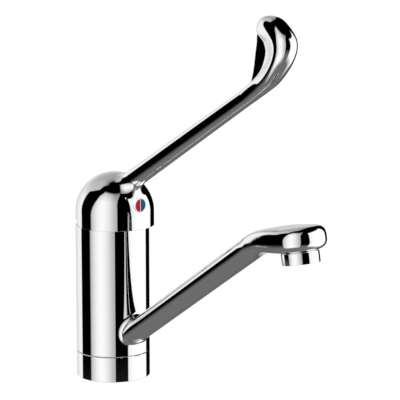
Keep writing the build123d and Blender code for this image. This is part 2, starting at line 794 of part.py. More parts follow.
with BuildPart() as lever_handle:
    with BuildSketch(Plane.XZ):
        with BuildLine():
            Polyline(
                (cap_offset, dome_centre_z + cap_radius),
                (cap_offset, skirt_bottom),
                (cap_offset + cap_radius, skirt_bottom),
                (cap_offset + cap_radius, dome_centre_z),
            )
            CenterArc((cap_offset, dome_centre_z), cap_radius, 0, 90)
        make_face()
    revolve(axis=cap_axis)
    chamfer(lever_handle.edges().group_by(Axis.Z)[0], edge_break / 2)
    add(arm_and_paddle.part)
    arm_foot = Vector(cap_radius, 0, lever_root_z)
    fillet(root_edges(lever_handle, arm_foot, cap_radius), lever_fillet)
    add(cap_hollow.part, mode=Mode.SUBTRACT)
    # Square socket, screw hole and plug seat
    with BuildSketch(Plane.XY.offset(boss_bottom - boss_radius)):
        Rectangle(2 * (spindle_half + running_clearance), 2 * (spindle_half + running_clearance))
    extrude(amount=spindle_top + seat_clearance - boss_bottom + boss_radius, mode=Mode.SUBTRACT)
    with BuildSketch(Plane.YZ):
        with Locations((0, plug_height)):
            Circle(screw_radius + running_clearance)
    extrude(amount=cap_offset + cap_radius, mode=Mode.SUBTRACT)
    with BuildSketch(Plane.YZ.offset(plug_seat_x)):
        with Locations((0, plug_height)):
            Circle(indicator_radius + running_clearance)
    extrude(amount=indicator_depth + 2 * overrun, mode=Mode.SUBTRACT)
    with BuildSketch(relief_plane):
        Rectangle(4 * cap_radius, 4 * cap_radius)
    extrude(amount=cap_radius, mode=Mode.SUBTRACT)
keep(lever_handle, "lever_handle")

# Grub screw: bites the spindle from the front
with BuildPart() as grub_screw:
    with BuildSketch(Plane.YZ.offset(spindle_half)):
        with Locations((0, plug_height)):
            Circle(screw_radius)
    extrude(amount=screw_length)
    with BuildSketch(Plane.YZ.offset(spindle_half + screw_length)):
        with Locations((0, plug_height)):
            RegularPolygon(screw_socket / 2, 6, major_radius=False)
    extrude(amount=-screw_socket_depth, mode=Mode.SUBTRACT)
keep(grub_screw, "grub_screw")

# Marks: a hot and a cold half disc, set flush in the plug's domed face
indicator_sphere = cap_radius + indicator_proud
for mark_name, side in (("hot_mark", -1), ("cold_mark", 1)):
    with BuildPart() as mark:
        with BuildSketch(Plane.YZ.offset(plug_seat_x)):
            with Locations((0, plug_height)):
                Circle(mark_radius)
            with Locations((side * (mark_gap / 2 + mark_radius), plug_height)):
                Rectangle(2 * mark_radius, 2 * mark_radius, mode=Mode.INTERSECT)
        extrude(amount=indicator_depth + 2 * overrun)
        with Locations((cap_offset, 0, dome_centre_z)):
            Sphere(indicator_sphere, mode=Mode.INTERSECT)
            Sphere(indicator_sphere - mark_depth, mode=Mode.SUBTRACT)
    keep(mark, mark_name)
    if side < 0:
        hot_mark = mark
    else:
        cold_mark = mark

# Indicator plug: hides the screw
with BuildPart() as indicator_plug:
    with BuildSketch(Plane.YZ.offset(plug_seat_x)):
        with Locations((0, plug_height)):
            Circle(indicator_radius)
    extrude(amount=indicator_depth + 2 * overrun)
    with Locations((cap_offset, 0, dome_centre_z)):
        Sphere(indicator_sphere, mode=Mode.INTERSECT)
    add(hot_mark.part, mode=Mode.SUBTRACT)
    add(cold_mark.part, mode=Mode.SUBTRACT)
keep(indicator_plug, "indicator_plug")
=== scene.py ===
"""Elbow lever mixer tap in its studio.

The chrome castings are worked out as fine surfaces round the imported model. Sizes are
in millimetres in the part's own frame, +Z up and both arms along +X, and they become
metres where a mesh is made.
"""

import bmesh
import bpy
import numpy as np
from mathutils import Matrix, Vector


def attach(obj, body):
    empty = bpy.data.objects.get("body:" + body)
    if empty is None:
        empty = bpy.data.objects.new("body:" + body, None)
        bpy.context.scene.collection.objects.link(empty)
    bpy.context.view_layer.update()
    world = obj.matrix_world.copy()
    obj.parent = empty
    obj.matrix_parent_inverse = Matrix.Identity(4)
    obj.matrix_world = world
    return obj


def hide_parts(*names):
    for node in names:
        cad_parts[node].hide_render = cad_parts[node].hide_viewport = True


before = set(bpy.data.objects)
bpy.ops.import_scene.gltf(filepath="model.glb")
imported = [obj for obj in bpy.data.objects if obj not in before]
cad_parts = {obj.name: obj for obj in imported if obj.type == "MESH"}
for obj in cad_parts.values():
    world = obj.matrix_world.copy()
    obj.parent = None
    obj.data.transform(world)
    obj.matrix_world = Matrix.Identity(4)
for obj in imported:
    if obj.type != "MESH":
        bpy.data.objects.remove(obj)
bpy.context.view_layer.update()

MM = 0.001

# Column and seam
COLUMN_RADIUS = 25.0
BORE_RADIUS = 22.3
BASE_TOP = 17.1
SLEEVE_BOTTOM = 17.5
SLEEVE_TOP = 104.0
SLEEVE_LIP_RADIUS = 20.7
SLEEVE_LIP_SPAN = (94.0, 96.5)
EDGE_BREAK = 0.25
SEAM_BREAK = 0.1

# Inside of the base ring: the foot's recess, the bore and the glide ring's recess
FOOT_RECESS_RADIUS = 23.6
FOOT_RECESS_TOP = 9.1
BASE_BORE_RADIUS = 20.6
GLIDE_RECESS_RADIUS = 24.1
GLIDE_RECESS_FLOOR = 15.6

# The sleeve's skin round the spout's foot, as a rectangle of the unrolled cylinder
SKIN_HALF_ANGLE = np.radians(60)
SKIN_LOW = 18.2
SKIN_HIGH = 70.0

# Spout arm
SPOUT_START = (14.0, 26.6)
SPOUT_SLOPE = np.radians(33.5)
SPOUT_STRAIGHT = 147.5
SPOUT_BEND_RADIUS = 58.0
SPOUT_TURN = np.radians(-23.0)
SPOUT_LINE = (SPOUT_START, SPOUT_SLOPE, SPOUT_STRAIGHT, SPOUT_BEND_RADIUS, SPOUT_TURN)
SPOUT_FILLET = 3.0
# From the straight run's end: distance, half width, half height, squareness, squareness
# added towards the top, sag
SPOUT_ROWS = (
    (-147.5, 11.4, 7.0, 2.2, 0.0, 0.0),
    (0.0, 12.1, 7.0, 2.25, 0.5, 0.0),
    (8.0, 12.9, 7.1, 2.45, 2.0, 0.0),
    (18.0, 14.25, 7.5, 2.7, 3.5, 0.0),
    (27.0, 15.45, 8.05, 2.9, 4.0, 0.05),
    (35.0, 16.45, 8.3, 3.0, 2.6, 0.25),
    (42.8, 17.1, 8.3, 3.0, 1.6, 0.5),
)
HEAD_TIP = 17.5
HEAD_PLAN_POWER = 2.2

# Outlet
MOUTH = (180.931, 105.078)
MOUTH_TILT = np.radians(10.5)
OUTLET_RADIUS = 12.0
OUTLET_HEIGHT = 7.3
OUTLET_ROUND = 0.4
OUTLET_ROUND_MIDDLE = (0.1, 0.12)
OUTLET_LIP = 1.0
OUTLET_GAP = 0.1
MOUTH_RADIUS = 9.0
NOZZLE_RADIUS = 10.9
NOZZLE_BORE = 9.1
NOZZLE_SPAN = (3.4, 12.0)

# Cap of the lever
CAP_RADIUS = 26.6
CAP_INNER_RADIUS = 24.4
CAP_OFFSET = 2.7
CAP_BOTTOM = 104.15
DOME_CENTRE = 113.7
RELIEF_HEIGHT = 104.009
RELIEF_FALL = 0.404

# Inside of the cap: the boss over the spindle, and the tube that guides the grub screw
BOSS_BORE = 5.0
BOSS_RADIUS = 7.5
BOSS_SPAN = (116.0, 137.0)
TUBE_BORE = 2.6
TUBE_RADIUS = 6.4
TUBE_SPAN = (7.0, 26.5)

# Hot and cold plug, with a flat upright face
PLUG_HEIGHT = 120.7
PLUG_BACK = 25.6
PLUG_FACE = 29.5
PLUG_RADIUS = 4.8
PLUG_BREAK = 0.2
MARK_RADIUS = 4.3
MARK_HALF_GAP = 0.25
MARK_BACK = 29.2
MARK_FACE = 29.55

# Lever arm, a straight bar with no bend, and its rows in the spout's columns
LEVER_START = (8.0, 128.9)
LEVER_SLOPE = np.radians(30.8)
LEVER_STRAIGHT = 144.0
NO_BEND = (1.0, 0.0)
LEVER_LINE = (LEVER_START, LEVER_SLOPE, LEVER_STRAIGHT, *NO_BEND)
LEVER_FILLET = 7.0
LEVER_SQUARENESS = 2.7
LEVER_ROWS = (
    (-144.0, 5.7, 6.7, 2.4, 0.0, 0.0),
    (0.0, 4.85, 5.16, LEVER_SQUARENESS, 0.0, 0.0),
    (10.0, 4.85, 5.16, LEVER_SQUARENESS, 0.0, 0.0),
)

# Paddle, standing in the bar's own plane. Each row: x, z, heading in degrees, half depth,
# half width, and how far the section has turned from an oval into a drop
PADDLE_ROWS = (
    (131.7, 202.6, 30.8, 5.16, 4.85, 0.0),
    (137.7, 206.5, 47.5, 5.63, 5.2, 0.0),
    (143.5, 210.2, 64.8, 6.6, 5.7, 0.1),
    (149.6, 214.75, 78.5, 8.27, 6.6, 0.45),
    (155.65, 221.6, 88.2, 9.75, 7.4, 0.85),
    (159.65, 228.25, 91.3, 10.75, 7.9, 1.0),
    (161.35, 234.25, 98.6, 11.7, 8.1, 1.0),
    (160.25, 239.4, 102.6, 11.9, 8.1, 0.95),
    (156.65, 243.7, 113.4, 11.06, 7.6, 0.7),
    (152.05, 247.3, 128.8, 9.6, 6.6, 0.4),
    (147.4, 248.8, 142.8, 7.3, 5.2, 0.15),
    (144.1, 248.6, 155.7, 4.6, 3.2, 0.0),
    (142.5, 248.2, 162.0, 2.6, 1.7, 0.0),
    (141.8, 248.0, 165.0, 0.01, 0.01, 0.0),
)
DROP_NOSE_MIDDLE = -0.3
DROP_EDGE = 0.17

# Web, the thin plate behind the paddle: its back edge, then its line inside the drop
WEB_EDGE = (
    (143.5, 243.0), (141.2, 242.2), (140.9, 241.2), (140.7, 236.9), (139.7, 231.3),
    (138.9, 225.7), (137.9, 220.0), (136.3, 214.3), (133.5, 208.5),
)
WEB_SEAM = (
    (147.5, 245.5), (148.0, 243.0), (149.0, 241.0), (152.5, 236.9), (153.0, 231.3),
    (152.0, 225.7), (149.0, 220.0), (144.0, 214.3), (137.0, 208.0),
)
WEB_HALF = 1.2

# Fineness of the meshes. The skin's rim meets the back panel and the column's rims point
# by point: RIM_SIDE steps are half the height of its side
AROUND = 256
RIM_SIDE = 24
BACK_COLUMNS = 160
COLUMN_STEPS = 240
SKIN_ROWS = 70
FLARE_ROWS = 22
ARM_ROWS = 40
END_ROWS = 60
TIP_ROWS = 48
NOZZLE_STEPS = 128
DOME_ROWS = 90
SKIRT_ROWS = 16
HOLLOW_ROWS = 24
TUBE_STEPS = 96
PLUG_STEPS = 96
MARK_ROWS = 65
MARK_STEPS = 9
PADDLE_STEPS = 140
WEB_ROWS = 80
WEB_STEPS = 8
WEB_RIM_STEPS = 13
FLOOR_STEPS = 64
TENT_ROWS = 33
TENT_STEPS = 64

# In metres: points this close become one, and edges shorter than this are dropped
MERGE_WITHIN = 2e-6
DROP_BELOW = 1e-7
# Edges that turn more than this stay crisp
SHARP_ANGLE = np.radians(40)


# Mesh kit

def unit(vectors):
    """Each vector divided by its length."""
    return vectors / np.linalg.norm(vectors, axis=-1, keepdims=True)


def dot(a, b):
    """The products of matching coordinates, added up, one value for each point."""
    return np.sum(a * b, axis=-1, keepdims=True)


def cubics(values, slopes, i, t, gap=1.0):
    """Cubics through a table's rows with a slope at each: the share t of the gap after row i."""
    left = values[i] * (1 + 2 * t) + slopes[i] * gap * t
    right = values[i + 1] * (3 - 2 * t) - slopes[i + 1] * gap * (1 - t)
    return left * (1 - t) ** 2 + right * t ** 2


def between_rows(rows, places):
    """A table's columns at the places: a straight change over the first gap, then cubics.

    Each cubic takes its slopes from the neighbouring rows, and the last row's is level.
    """
    table = np.array(rows)
    root, table = table[0], table[1:]
    x, values = table[:, 0], table[:, 1:]
    slopes = np.gradient(values, x, axis=0)
    slopes[0] = (values[0] - root[1:]) / (x[0] - root[0])
    slopes[-1] = 0
    before = np.minimum(places - x[0], 0)[..., None] * slopes[0]
    places = np.clip(places, x[0], x[-1])
    i = np.clip(np.searchsorted(x, places, side="right") - 1, 0, len(x) - 2)
    gap = (x[i + 1] - x[i])[..., None]
    t = (places[..., None] - x[i][..., None]) / gap
    return cubics(values, slopes, i, t, gap) + before


def smooth_between(table, places):
    """A table's columns at the places, with row numbers as the scale: cubics through the rows."""
    table = np.array(table)
    i = np.clip(np.floor(places).astype(int), 0, len(table) - 2)
    return cubics(table, np.gradient(table, axis=0), i, (places - i)[..., None])


def oval(angle, power):
    """A unit oval: across and up, each raised to the power, add up to one at every angle."""
    across, up = np.cos(angle), np.sin(angle)
    reach = (np.abs(across) ** power + np.abs(up) ** power) ** (-1 / power)
    return across * reach, up * reach


def mid_line(start, slope, straight, radius, turn, distance):
    """A line in the XZ plane: straight, then an arc of the radius through the turn, then straight."""
    arc = radius * abs(turn)
    bent = np.clip(distance - straight, 0, arc) / radius
    side = np.sign(turn)
    tail = np.maximum(distance - straight - arc, 0)
    ahead = np.minimum(distance, straight) + radius * np.sin(bent) + tail * np.cos(bent)
    aside = side * (radius * (1 - np.cos(bent)) + tail * np.sin(bent))
    x = start[0] + ahead * np.cos(slope) - aside * np.sin(slope)
    z = start[1] + ahead * np.sin(slope) + aside * np.cos(slope)
    return x, z, slope + side * bent


def weave(*grids):
    """Grids of points, each rows by columns, as one list of points and the quads of each grid."""
    points, quads, count = [], [], 0
    for grid in grids:
        rows, columns = grid.shape[:2]
        index = count + np.arange(rows * columns).reshape(rows, columns)
        quads.append(
            np.stack([index[:-1, :-1], index[:-1, 1:], index[1:, 1:], index[1:, :-1]], -1)
            .reshape(-1, 4)
        )
        points.append(grid.reshape(-1, 3))
        count += rows * columns
    return np.concatenate(points), np.concatenate(quads)


def piece(name, material, grids):
    """A mesh object from grids in millimetres: doubles merged, faces outwards, smooth shaded."""
    points, quads = weave(*grids)
    mesh = bpy.data.meshes.new(name)
    mesh.from_pydata(points * MM, [], quads)
    mesh.validate()
    work = bmesh.new()
    work.from_mesh(mesh)
    bmesh.ops.remove_doubles(work, verts=work.verts, dist=MERGE_WITHIN)
    bmesh.ops.dissolve_degenerate(work, edges=work.edges, dist=DROP_BELOW)
    bmesh.ops.recalc_face_normals(work, faces=work.faces)
    work.to_mesh(mesh)
    work.free()
    mesh.shade_smooth()
    mesh.set_sharp_from_angle(angle=SHARP_ANGLE)
    mesh.materials.append(material)
    thing = bpy.data.objects.new(name, mesh)
    bpy.context.scene.collection.objects.link(thing)
    return thing


def turned(profile, columns, origin=(0, 0, 0), tilt=0.0, start=0.0, end=2 * np.pi):
    """A profile of radius and height carried round its axis, which leans by the tilt towards -X."""
    profile = np.array(profile)
    angle = np.linspace(start, end, columns + 1)
    radius, height = profile[:, :1], profile[:, 1:]
    x, y = radius * np.cos(angle), radius * np.sin(angle)
    z = height + 0 * angle
    leaned = np.stack([
        x * np.cos(tilt) - z * np.sin(tilt),
        y,
        x * np.sin(tilt) + z * np.cos(tilt),
    ], -1)
    return leaned + np.array(origin)


def tube(bore, radius, span, columns, origin=(0, 0, 0), tilt=0.0):
    """A plain tube between two heights."""
    low, high = span
    profile = [(bore, low), (radius, low), (radius, high), (bore, high), (bore, low)]
    return turned(profile, columns, origin, tilt)


# Arms

def section(rows, distance, angle):
    """An arm's section: how far each point lies across, as a share of the half width, and up.

    The distance is counted from the end of the straight run. The half width comes last.
    """
    width, height, power, more, hang = np.moveaxis(between_rows(rows, distance), -1, 0)
    across, up = oval(angle, power + more * np.maximum(np.sin(angle), 0) ** 2)
    return across, up * height - hang, width


def on_line(x, z, heading, aside, up, forward=0.0):
    """Points by how far they lie aside, up and forward from a place on a line in the XZ plane."""
    return np.stack([
        x + forward * np.cos(heading) - up * np.sin(heading),
        aside,
        z + forward * np.sin(heading) + up * np.cos(heading),
    ], -1)


def arm_points(line, rows, distance, angle):
    """A swept oval: at each distance its section, set square to the line."""
    across, up, width = section(rows, distance - line[2], angle)
    return on_line(*mid_line(*line, distance), across * width, up)


def arm_end(line, rows, distance, tip, plan_power, turns, angle):
    """The rounded end: the last section's halves turned about its upright middle line to meet."""
    across, up, width = section(rows, np.array(distance - line[2]), angle)
    aside, ahead = oval(turns[:, None], plan_power)
    forward = np.abs(across) * ahead * tip
    place = mid_line(*line, np.array(distance))
    return on_line(*place, across * aside * width, up + 0 * forward, forward)


def drop(angle):
    """A unit drop: half an oval for the nose, and straight flanks touching it that nearly meet."""
    up = np.sin(angle)
    front = 1 + DROP_NOSE_MIDDLE
    beside = (up - DROP_NOSE_MIDDLE) / front
    nose = np.sqrt(np.clip(1 - beside ** 2, 0, 1))
    # The flank's fall touches the nose's curve and ends at the edge's width
    span = (1 - DROP_NOSE_MIDDLE) / front
    fall = (span * DROP_EDGE - np.sqrt(span ** 2 + DROP_EDGE ** 2 - 1)) / (1 - span ** 2)
    touch = fall / np.sqrt(1 + fall ** 2)
    flank = DROP_EDGE + fall * (span - beside)
    return np.sign(np.cos(angle)) * np.where(beside > touch, flank, nose), up


def paddle_points(places, angle):
    """The paddle's skin: each section set square to its heading, from oval to drop."""
    x, z, heading, depth, width, share = np.moveaxis(smooth_between(PADDLE_ROWS, places), -1, 0)
    oval_across, oval_up = oval(angle, LEVER_SQUARENESS)
    drop_across, drop_up = drop(angle)
    across = oval_across + share * (drop_across - oval_across)
    up = (oval_up + share * (drop_up - oval_up)) * depth
    return on_line(x, z, np.radians(heading), across * width, up)


def web_grids():
    """The web: two flat faces and a rounded back edge between them."""
    edge = smooth_between(WEB_EDGE, np.linspace(0, len(WEB_EDGE) - 1, WEB_ROWS))
    seam = smooth_between(WEB_SEAM, np.linspace(0, len(WEB_SEAM) - 1, WEB_ROWS))
    rim = np.linspace(-np.pi / 2, np.pi / 2, WEB_RIM_STEPS)[:, None]
    ahead = unit(seam - edge)
    around = edge + (WEB_HALF - WEB_HALF * np.cos(rim))[..., None] * ahead
    aside = WEB_HALF * np.sin(rim) + 0 * edge[:, 0]
    rounded = np.stack([around[..., 0], aside, around[..., 1]], -1)
    share = np.linspace(0, 1, WEB_STEPS)[:, None, None]
    sides = []
    for side in (0, -1):
        start = rounded[side]
        end = np.stack([seam[:, 0], start[:, 1], seam[:, 1]], -1)
        sides.append(start + share * (end - start))
    back = np.stack([sides[0][-1], sides[1][-1]])
    return rounded, sides[0], sides[1], back


def foot_on_round(origin, along, centre, radius, flat):
    """Where the arm's straight lines leave a cylinder (flat is 0) or a ball (flat is 1)."""
    weights = np.array([1.0, 1.0, flat])
    start = origin - centre
    a = dot(along * weights, along)
    b = 2 * dot(start * weights, along)
    c = dot(start * weights, start) - radius ** 2
    return origin + along * (np.sqrt(b ** 2 - 4 * a * c) - b) / (2 * a)


def flare(foot, along, out_of_arm, centre, radius, flat, fillet):
    """The hollow between a round body and an arm: an arc for each straight line of the arm.

    Each arc starts on the body, at the fillet times the tangent of half the angle between
    the two faces, and ends as far up the arm's line, touching both.
    """
    weights = np.array([1.0, 1.0, flat])
    out_of_body = unit((foot - centre) * weights)
    slant = np.clip(dot(out_of_body, out_of_arm), -1, 1)
    reach = fillet * np.tan(np.arccos(slant) / 2)
    away = unit(out_of_arm - slant * out_of_body)
    if flat:
        ring = centre + radius * (
            np.cos(reach / radius) * out_of_body + np.sin(reach / radius) * away
        )
    else:
        bearing = np.arctan2(foot[:, 1], foot[:, 0])
        tangent = np.stack([-np.sin(bearing), np.cos(bearing)], -1)
        turned_to = bearing + reach[:, 0] * np.sum(away[:, :2] * tangent, -1) / radius
        height = foot[:, 2] + reach[:, 0] * away[:, 2]
        ring = np.stack([radius * np.cos(turned_to), radius * np.sin(turned_to), height], -1)
    out_of_ring = unit((ring - centre) * weights)
    corner = foot + along * dot(ring - foot, out_of_ring) / dot(along, out_of_ring)
    size = np.linalg.norm(ring - corner, axis=-1, keepdims=True)
    top = corner + size * unit(along)
    weight = np.sqrt((1 + dot(unit(corner - ring), unit(along))) / 2)
    t = np.linspace(0, 1, FLARE_ROWS)[:, None, None]
    shares = ((1 - t) ** 2, 2 * t * (1 - t) * weight, t ** 2)
    arcs = (shares[0] * ring + shares[1] * corner + shares[2] * top) / sum(shares)
    return ring, arcs


def arm_root(line, rows, angle, centre, radius, flat, fillet):
    """The ring on the body, the flare's arcs and the straight run, for one arm."""
    none = np.zeros_like(angle)
    origin = arm_points(line, rows, none, angle)
    along = unit(arm_points(line, rows, none + line[2], angle) - origin)
    foot = foot_on_round(origin, along, centre, radius, flat)
    run = dot(foot - origin, along)[:, 0]
    nudge = 1e-4
    sideways = arm_points(line, rows, run, angle + nudge) - arm_points(line, rows, run, angle - nudge)
    out_of_arm = unit(np.cross(sideways, along))
    ring, arcs = flare(foot, along, out_of_arm, centre, radius, flat, fillet)
    start = dot(arcs[-1] - origin, along)[:, 0]
    share = np.linspace(0, 1, ARM_ROWS)[:, None]
    straight = arm_points(line, rows, start + share * (line[2] - start), angle + 0 * share)
    return ring, arcs, straight


angle = np.linspace(0, 2 * np.pi, AROUND + 1)


# Castings

def on_column(turn, height):
    """Points on the column's face."""
    return np.stack([COLUMN_RADIUS * np.cos(turn), COLUMN_RADIUS * np.sin(turn), height], -1)


def sleeve_skin(ring):
    """Straight lines on the unrolled cylinder, from the flare's ring to the rectangle's rim."""
    half = AROUND / 2
    corners = [0, RIM_SIDE, half - RIM_SIDE, half + RIM_SIDE, AROUND - RIM_SIDE, AROUND]
    column = np.arange(AROUND + 1)
    side, high, low = SKIN_HALF_ANGLE, SKIN_HIGH, SKIN_LOW
    middle = (high + low) / 2
    rim_turn = np.interp(column, corners, [side, side, -side, -side, side, side])
    rim_height = np.interp(column, corners, [middle, high, high, low, low, middle])
    share = np.linspace(0, 1, SKIN_ROWS)[:, None]
    turn = np.arctan2(ring[:, 1], ring[:, 0])
    turn = turn + share * (rim_turn - turn)
    height = ring[:, 2] + share * (rim_height - ring[:, 2])
    return on_column(turn, height)


def back_panel():
    """The rest of the cylinder at the heights of the skin."""
    turn = np.linspace(SKIN_HALF_ANGLE, 2 * np.pi - SKIN_HALF_ANGLE, BACK_COLUMNS + 1)
    height = np.linspace(SKIN_LOW, SKIN_HIGH, 2 * RIM_SIDE + 1)[:, None]
    return on_column(turn + 0 * height, height + 0 * turn)


def spout_grids():
    """Sleeve, flare, arm, head and nozzle."""
    ring, arcs, straight = arm_root(
        SPOUT_LINE, SPOUT_ROWS, angle, np.zeros(3), COLUMN_RADIUS, 0.0, SPOUT_FILLET)
    last = SPOUT_STRAIGHT + SPOUT_ROWS[-1][0]
    distance = np.linspace(SPOUT_STRAIGHT, last, END_ROWS)[:, None]
    bend = arm_points(SPOUT_LINE, SPOUT_ROWS, distance + 0 * angle, angle + 0 * distance)
    turns = np.linspace(0, np.pi / 2, TIP_ROWS)
    tip = arm_end(SPOUT_LINE, SPOUT_ROWS, last, HEAD_TIP, HEAD_PLAN_POWER, turns, angle)
    lip_low, lip_high = SLEEVE_LIP_SPAN
    rims = turned([
        (COLUMN_RADIUS, SKIN_HIGH), (COLUMN_RADIUS, SLEEVE_TOP - SEAM_BREAK),
        (COLUMN_RADIUS - SEAM_BREAK, SLEEVE_TOP), (BORE_RADIUS, SLEEVE_TOP),
        (BORE_RADIUS, lip_high), (SLEEVE_LIP_RADIUS, lip_high), (SLEEVE_LIP_RADIUS, lip_low),
        (BORE_RADIUS, lip_low), (BORE_RADIUS, SLEEVE_BOTTOM),
        (COLUMN_RADIUS - EDGE_BREAK, SLEEVE_BOTTOM), (COLUMN_RADIUS, SLEEVE_BOTTOM + EDGE_BREAK),
        (COLUMN_RADIUS, SKIN_LOW),
    ], COLUMN_STEPS, start=SKIN_HALF_ANGLE, end=SKIN_HALF_ANGLE + 2 * np.pi)
    mouth = (MOUTH[0], 0, MOUTH[1])
    nozzle = tube(NOZZLE_BORE, NOZZLE_RADIUS, NOZZLE_SPAN, NOZZLE_STEPS, mouth, MOUTH_TILT)
    return sleeve_skin(ring), arcs, straight, bend, tip, back_panel(), rims, nozzle


def cap_bottom(radius, turn):
    """The skirt's lower edge: level, or on the slanting relief at the back where that is higher."""
    return np.maximum(CAP_BOTTOM, RELIEF_HEIGHT - RELIEF_FALL * (CAP_OFFSET + radius * np.cos(turn)))


def round_cap(radius, turn, height):
    """Points round the cap's axis."""
    x = CAP_OFFSET + radius * np.cos(turn)
    return np.stack([x + 0 * height, radius * np.sin(turn) + 0 * height, height + 0 * turn], -1)


def lever_grids():
    """Dome, flare, arm, paddle, web, skirt, and the cap's hollow with its boss and screw tube."""
    centre = np.array([CAP_OFFSET, 0, DOME_CENTRE])
    outer, inner = CAP_RADIUS, CAP_INNER_RADIUS
    ring, arcs, straight = arm_root(
        LEVER_LINE, LEVER_ROWS, angle, centre, outer, 1.0, LEVER_FILLET)
    places = np.linspace(0, len(PADDLE_ROWS) - 1, PADDLE_STEPS)[:, None]
    paddle = paddle_points(places + 0 * angle, angle + 0 * places)
    # The dome, along great circles from the ring to the equator
    turn = angle + np.pi / 2
    here = (ring - centre) / outer
    there = np.stack([np.cos(turn), np.sin(turn), 0 * turn], -1)
    span = np.arccos(dot(here, there))
    t = np.linspace(0, 1, DOME_ROWS)[:, None, None]
    dome = centre + outer * (np.sin((1 - t) * span) * here + np.sin(t * span) * there) / np.sin(span)
    # The skirt, its broken edge, and the hollow up to its own dome
    edge = np.minimum(cap_bottom(outer, turn) + SEAM_BREAK, DOME_CENTRE)
    share = np.linspace(0, 1, SKIRT_ROWS)[:, None]
    skirt = round_cap(outer, turn, DOME_CENTRE + share * (edge - DOME_CENTRE))
    broken = outer - SEAM_BREAK
    inner_edge = cap_bottom(inner, turn)
    lip = np.stack([
        round_cap(outer, turn, edge),
        round_cap(broken, turn, cap_bottom(broken, turn)),
        round_cap(inner, turn, inner_edge),
    ])
    wall = round_cap(inner, turn, inner_edge + share * (DOME_CENTRE - inner_edge))
    rise = np.linspace(0, np.pi / 2, HOLLOW_ROWS)[:, None]
    hollow = round_cap(inner * np.cos(rise), turn, DOME_CENTRE + inner * np.sin(rise))
    boss = tube(BOSS_BORE, BOSS_RADIUS, BOSS_SPAN, TUBE_STEPS)
    screw_tube = tube(
        TUBE_BORE, TUBE_RADIUS, TUBE_SPAN, TUBE_STEPS, (0, 0, PLUG_HEIGHT), -np.pi / 2)
    return dome, arcs, straight, paddle, *web_grids(), skirt, lip, wall, hollow, boss, screw_tube


def mark_half(side):
    """One half of the plug's round mark: its face, its back and the rim between them."""
    reach = np.sqrt(MARK_RADIUS ** 2 - MARK_HALF_GAP ** 2)
    rise = reach * np.sin(np.linspace(-np.pi / 2, np.pi / 2, MARK_ROWS))
    share = np.linspace(0, 1, MARK_STEPS)[:, None]
    bow = np.sqrt(np.maximum(MARK_RADIUS ** 2 - rise ** 2, MARK_HALF_GAP ** 2))
    aside = side * (MARK_HALF_GAP + share * (bow - MARK_HALF_GAP))
    height = PLUG_HEIGHT + rise + 0 * share
    face = np.stack([MARK_FACE + 0 * height, aside, height], -1)
    rear = np.stack([MARK_BACK + 0 * height, aside, height], -1)
    return face, rear, np.stack([face[0], rear[0]]), np.stack([face[-1], rear[-1]])


# Materials

# The noise in every finish, the part of it that the roughness follows, and its depth in metres
GRAIN_DETAIL = 4.0
GRAIN_ROUGHNESS = 0.55
GRAIN_SPREAD = (0.3, 0.7)
GRAIN_DEPTH = 0.0002
# The marks shine little, so that their colours stay deep
MARK_SHINE = 0.12


def node_kit(material):
    """A helper that adds a node with its sockets set, to a material whose nodes it clears first."""
    material.use_nodes = True
    tree = material.node_tree
    tree.nodes.clear()

    def add(kind, settings=None, **sockets):
        node = tree.nodes.new("ShaderNode" + kind)
        for name, value in (settings or {}).items():
            setattr(node, name, value)
        for name, value in sockets.items():
            key = int(name[1:]) if name[0] == "_" else name.replace("_", " ")
            socket = node.inputs[key]
            if isinstance(value, bpy.types.NodeSocket):
                tree.links.new(value, socket)
            else:
                socket.default_value = value
        return node

    return add


def finish(name, colour, metallic, rough, grain, bump, **more):
    """A surface whose roughness drifts with a fine noise that also lifts it by the bump."""
    material = bpy.data.materials.new(name)
    add = node_kit(material)
    where = add("TexCoord").outputs["Object"]
    noise = add(
        "TexNoise", Vector=where, Scale=grain, Detail=GRAIN_DETAIL, Roughness=GRAIN_ROUGHNESS)
    drift = add(
        "MapRange", Value=noise.outputs["Fac"], From_Min=GRAIN_SPREAD[0], From_Max=GRAIN_SPREAD[1],
        To_Min=rough[0], To_Max=rough[1])
    lift = add("Bump", Height=noise.outputs["Fac"], Strength=bump, Distance=GRAIN_DEPTH)
    shader = add(
        "BsdfPrincipled", Base_Color=(*colour, 1), Metallic=metallic,
        Roughness=drift.outputs["Result"], Normal=lift.outputs["Normal"], **more)
    add("OutputMaterial", Surface=shader.outputs["BSDF"])
    return material


chrome = finish(
    "polished_chrome", (0.93, 0.93, 0.935), metallic=1.0, rough=(0.012, 0.03), grain=60.0, bump=0.0)
brass = finish(
    "turned_brass", (0.78, 0.56, 0.26), metallic=1.0, rough=(0.22, 0.38), grain=900.0, bump=0.15)
steel = finish(
    "stainless_steel", (0.72, 0.72, 0.73), metallic=1.0, rough=(0.2, 0.34), grain=1200.0, bump=0.1)
rubber = finish(
    "seal_rubber", (0.025, 0.025, 0.027), metallic=0.0, rough=(0.55, 0.75), grain=1500.0, bump=0.3)
white_plastic = finish(
    "white_acetal", (0.82, 0.82, 0.80), metallic=0.0, rough=(0.32, 0.45), grain=700.0, bump=0.1)
ceramic = finish(
    "lapped_ceramic", (0.86, 0.85, 0.81), metallic=0.0, rough=(0.12, 0.2), grain=1500.0, bump=0.03)
grey_plastic = finish(
    "grey_acetal", (0.35, 0.36, 0.37), metallic=0.0, rough=(0.35, 0.5), grain=800.0, bump=0.1)
plug_white = finish(
    "plug_white", (0.86, 0.86, 0.86), metallic=0.0, rough=(0.12, 0.2), grain=800.0, bump=0.02)
hot_red = finish(
    "hot_red", (0.47, 0.008, 0.014), metallic=0.0, rough=(0.18, 0.28), grain=900.0, bump=0.02,
    Specular_IOR_Level=MARK_SHINE)
cold_blue = finish(
    "cold_blue", (0.0, 0.1, 0.2), metallic=0.0, rough=(0.18, 0.28), grain=900.0, bump=0.02,
    Specular_IOR_Level=MARK_SHINE)

